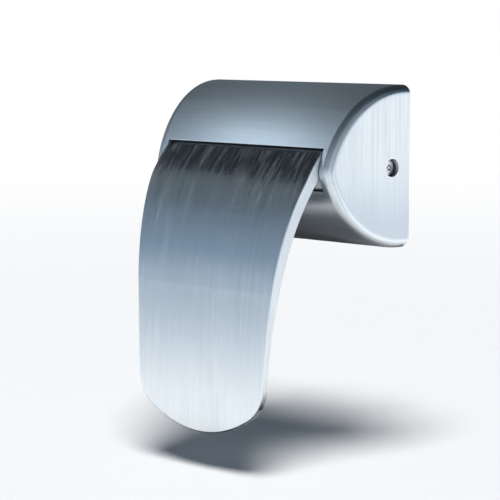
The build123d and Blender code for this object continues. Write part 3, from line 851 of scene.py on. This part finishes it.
def dome_stops():
    """The dome's ramp: SKY_LEVELS by elevation in degrees, tinted bluer up to BLUE_FROM."""
    stops = []
    for elevation, level in SKY_LEVELS:
        share = min(1.0, max(0.0, elevation / BLUE_FROM))
        tint = [pale + (blue - pale) * share for pale, blue in zip(HORIZON_BLUE, STUDIO_BLUE)]
        stops.append(((math.sin(math.radians(elevation)) + 1) / 2, level, tint))
    return stops


def mix_shaders(tree, factor, first, second):
    """A Mix Shader node between two shaders' sockets; gives its output socket."""
    node = tree.nodes.new("ShaderNodeMixShader")
    for socket, value in zip(node.inputs, (factor, first, second)):
        tree.links.new(value, socket)
    return node.outputs[0]


def build_world():
    """The dome that the steel mirrors; a camera ray sees plain white."""
    world = bpy.data.worlds.new("studio_dome")
    world.use_nodes = True
    tree = world.node_tree
    tree.nodes.clear()
    direction = tree.nodes.new("ShaderNodeTexCoord").outputs["Generated"]
    height = split_axes(tree, direction)["Z"]
    dome = colour_ramp(tree, map_range(tree, height, -1.0, 1.0), dome_stops())
    aside = vector_math(tree, "DOT_PRODUCT", direction, DIM_SIDE)
    dim = map_range(tree, aside, *DIM_RANGE, 0.0, DIM_MOST, smooth=True)
    dim = math_node(tree, "MULTIPLY", dim, map_range(tree, height, 0.0, DIM_ABOVE))
    studio = add_node(tree, "ShaderNodeBackground", Color=mix(tree, dim, dome, DARK_TONE)).outputs[0]
    plain = add_node(tree, "ShaderNodeBackground", Color=WHITE).outputs[0]
    seen = tree.nodes.new("ShaderNodeLightPath").outputs["Is Camera Ray"]
    output = tree.nodes.new("ShaderNodeOutputWorld")
    tree.links.new(mix_shaders(tree, seen, studio, plain), output.inputs["Surface"])
    bpy.context.scene.world = world


build_world()
print("dome with", len(SKY_LEVELS), "levels")

# %% [markdown]
# ## The floor
# The floor is white paper that catches the shadow and fades into the background further out. The steel
# doesn't mirror that paper as it is: its glossy rays find a dark disc right under the handle, where its own
# shade would be, then bright paper, then the tone of the dome's horizon, so that no edge shows. Seen from
# below the floor is clear, and hides nothing.

# %% Build the floor
FLOOR_DROP = 18 * MM
FLOOR_RADIUS = 4.0
MIRROR_REACH = 2.5
MIRRORED_FLOOR = (
    (0.0, 0.04, HORIZON_BLUE),
    (0.095, 0.05, HORIZON_BLUE),
    (0.145, 1.22, (0.97, 1.0, 1.02)),
    (0.25, 1.22, (0.97, 1.0, 1.02)),
    (0.45, 1.00, (0.93, 0.99, 1.07)),
    (0.90, 0.79, (0.89, 1.0, 1.11)),
    (2.40, 0.57, HORIZON_BLUE),
)
WHITE_FROM = (0.35, 1.6)
PAPER_DARK = (0.88, 0.88, 0.88)
PAPER_LIGHT = (0.90, 0.90, 0.90)
PAPER_ROUGHNESS = 0.9


def show_front_only(tree, front):
    """Sends a shader to the material's output for a surface's front, and leaves its back clear."""
    behind = tree.nodes.new("ShaderNodeNewGeometry").outputs["Backfacing"]
    clear = tree.nodes.new("ShaderNodeBsdfTransparent").outputs[0]
    output = next(node for node in tree.nodes if node.type == "OUTPUT_MATERIAL")
    tree.links.new(mix_shaders(tree, behind, front, clear), output.inputs["Surface"])


def floor_paper():
    """White paper that fades into plain white, with a tone of its own for glossy rays."""
    material, tree, shader, place = new_material("floor_paper")
    fibre = noise(tree, place, scale=60.0, detail=3.0, roughness=0.6)
    feed(tree, mix(tree, fibre, PAPER_DARK, PAPER_LIGHT), shader.inputs["Base Color"])
    feed(tree, PAPER_ROUGHNESS, shader.inputs["Roughness"])
    feed(tree, 0.0, shader.inputs["Specular IOR Level"])
    distance = vector_math(tree, "LENGTH", place)
    stops = [(reach / MIRROR_REACH, level, tint) for reach, level, tint in MIRRORED_FLOOR]
    mirrored = colour_ramp(tree, map_range(tree, distance, 0.0, MIRROR_REACH), stops)
    ray = tree.nodes.new("ShaderNodeLightPath").outputs
    glow = add_node(tree, "ShaderNodeEmission", Color=mix(tree, ray["Is Camera Ray"], mirrored, WHITE))
    fade = map_range(tree, distance, *WHITE_FROM, smooth=True)
    glowing = math_node(tree, "MAXIMUM", fade, ray["Is Glossy Ray"])
    show_front_only(tree, mix_shaders(tree, glowing, shader.outputs[0], glow.outputs[0]))
    return material


def build_floor():
    """A wide round paper floor, a little below the paddle's tip."""
    shape = bmesh.new()
    bmesh.ops.create_circle(shape, cap_ends=True, segments=96, radius=FLOOR_RADIUS)
    floor = add_object("studio_floor", mesh_from("studio_floor", shape, floor_paper()))
    floor.location.z = CAD_BOX[0][2] - FLOOR_DROP


build_floor()
print("floor at", round((CAD_BOX[0][2] - FLOOR_DROP) / MM, 1), "mm")

# %% [markdown]
# ## The dark card
# A mounted handle also mirrors the dark surface that it sits on. So a dark card lies in the mounting plane,
# round the housing's rim on three sides. It ends flush with the rim on the fourth, because the pale end face
# would mirror it there. Low on the left it fades to a pale tone. Only reflections from the front see it.

# %% Build the dark card
CARD_LEFT, CARD_BOTTOM, CARD_TOP = -0.45, -0.137, 0.45
CARD_PALE = (0.85, 0.87, 0.90)
FADE_BELOW_RIM = (-0.01, -0.075)
FADE_LEFTWARDS = (-0.06, -0.14)


def card_black(rim):
    """Dark, with the pale fade; rim is the height of the housing's lower rim."""
    material, tree, _ = blank_material("card_black")
    place = split_axes(tree, object_place(tree))
    down = map_range(tree, place["Z"], rim + FADE_BELOW_RIM[0], rim + FADE_BELOW_RIM[1], smooth=True)
    fade = math_node(tree, "MULTIPLY", down, map_range(tree, place["X"], *FADE_LEFTWARDS, smooth=True))
    glow = add_node(tree, "ShaderNodeEmission", Color=mix(tree, fade, DARK_TONE, CARD_PALE))
    show_front_only(tree, glow.outputs[0])
    return material


def build_dark_card():
    """Three rectangles in the mounting plane: left of the housing, above it and below it."""
    low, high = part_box("housing")
    shape = bmesh.new()
    for left, bottom, right, top in (
        (CARD_LEFT, CARD_BOTTOM, low.x, CARD_TOP),
        (low.x, high.z, high.x, CARD_TOP),
        (low.x, CARD_BOTTOM, high.x, low.z),
    ):
        corners = ((left, bottom), (right, bottom), (right, top), (left, top))
        shape.faces.new([shape.verts.new((across, high.y, up)) for across, up in corners])
    card = add_object("dark_card", mesh_from("dark_card", shape, card_black(low.z)))
    card.visible_camera = False
    card.visible_diffuse = False
    card.visible_transmission = False
    card.visible_shadow = False
    return card


card = build_dark_card()
print("dark card:", len(card.data.polygons), "rectangles")

# %% [markdown]
# ## Lamps
# The housing's grain smears every lamp round a cone about its long axis. Two narrow upright softboxes stand
# on the cone whose light reaches the camera, so they light the housing far more than the paddle, whose grain
# smears them sideways. Two pale boards on the right, one behind the mounting plane and one in front of it,
# give the faces that look that way something bright to mirror. A large soft lamp from above whitens the
# floor and casts the shadow. It stays out of reflections, or else it would bleach the steel.

# %% Place the lamps
AIM = Vector((-0.002, -0.040, -0.040))
UP = Vector((0.0, 0.0, 1.0))
STRIP_BLUE = (0.78, 0.94, 1.06)
WARM_WHITE = (1.08, 0.99, 0.90)
CONE_SIDEWAYS = -0.62
CONE_RADIUS = 0.785
STRIP_SIZE = (0.10, 0.60)
OVERHEAD_SIDE = Vector((0.25, -0.35, 1.0))


def add_lamp(data, place, upright=UP):
    """Places a lamp that shines at the aim; upright is the direction of its long side."""
    back = (place - AIM).normalized()
    side = upright.cross(back).normalized()
    turn = Matrix((side, back.cross(side), back)).transposed()
    lamp = add_object(data.name, data)
    lamp.matrix_world = Matrix.Translation(place) @ turn.to_4x4()
    return lamp


def area_light(name, size, level, colour):
    """Data of a rectangular lamp; where level is 1 it looks as bright as white paper."""
    data = bpy.data.lights.new(name, "AREA")
    data.shape = "RECTANGLE"
    data.size, data.size_y = size
    data.energy = level * math.pi * size[0] * size[1]
    data.color = colour
    return data


def strip_softbox(name, lean, level):
    """A narrow softbox a metre off, on the housing's cone; lean is its angle up that cone."""
    turn = math.radians(lean)
    direction = Vector((CONE_SIDEWAYS, -CONE_RADIUS * math.cos(turn), CONE_RADIUS * math.sin(turn)))
    upright = Vector((0.0, math.sin(turn), math.cos(turn)))
    return add_lamp(area_light(name, STRIP_SIZE, level, STRIP_BLUE), AIM + direction, upright)


def reflector(name, offset, size, level):
    """A pale board at offset from the aim, seen only in reflections."""
    lamp = add_lamp(area_light(name, size, level, WARM_WHITE), AIM + Vector(offset))
    lamp.visible_diffuse = False
    return lamp


def overhead_softbox(strength, spread):
    """A soft lamp from above that reflections don't see; spread is its width in degrees."""
    data = bpy.data.lights.new("overhead_softbox", "SUN")
    data.energy = strength
    data.angle = math.radians(spread)
    lamp = add_lamp(data, AIM + OVERHEAD_SIDE)
    lamp.visible_glossy = False
    return lamp


lamps = [
    strip_softbox("low_strip", lean=41.0, level=1.90),
    strip_softbox("high_strip", lean=76.0, level=0.10),
    reflector("side_reflector", offset=(0.94, 0.88, 0.10), size=(0.9, 0.7), level=1.1),
    reflector("front_reflector", offset=(1.00, -0.94, 0.05), size=(0.7, 0.5), level=0.7),
    overhead_softbox(strength=3.3, spread=28),
]
print("lamps:", [lamp.name for lamp in lamps])

# %% [markdown]
# ## Camera
# The camera's place comes from the photograph, where lines that are square in reality fix its angle and
# distance. The lens is longer than the one in the photograph, so that the handle fills the frame, and it
# changes nothing in the perspective because the camera stands in the same spot.

# %% Place the camera
CAMERA_PLACE = Vector((0.5152, -0.6506, 0.0659))
LENS = 124.0
SENSOR_WIDTH = 36.0
NEAR_CLIP = 10 * MM


def place_camera():
    """The photograph's viewpoint, aimed at the handle."""
    data = bpy.data.cameras.new("photo_camera")
    data.lens = LENS
    data.sensor_width = SENSOR_WIDTH
    data.clip_start = NEAR_CLIP
    camera = add_object("photo_camera", data)
    camera.location = CAMERA_PLACE
    camera.rotation_euler = (AIM - CAMERA_PLACE).to_track_quat("-Z", "Y").to_euler()
    bpy.context.scene.camera = camera


place_camera()
bpy.context.scene.view_settings.view_transform = "Standard"
print("camera at", [round(v, 3) for v in CAMERA_PLACE])
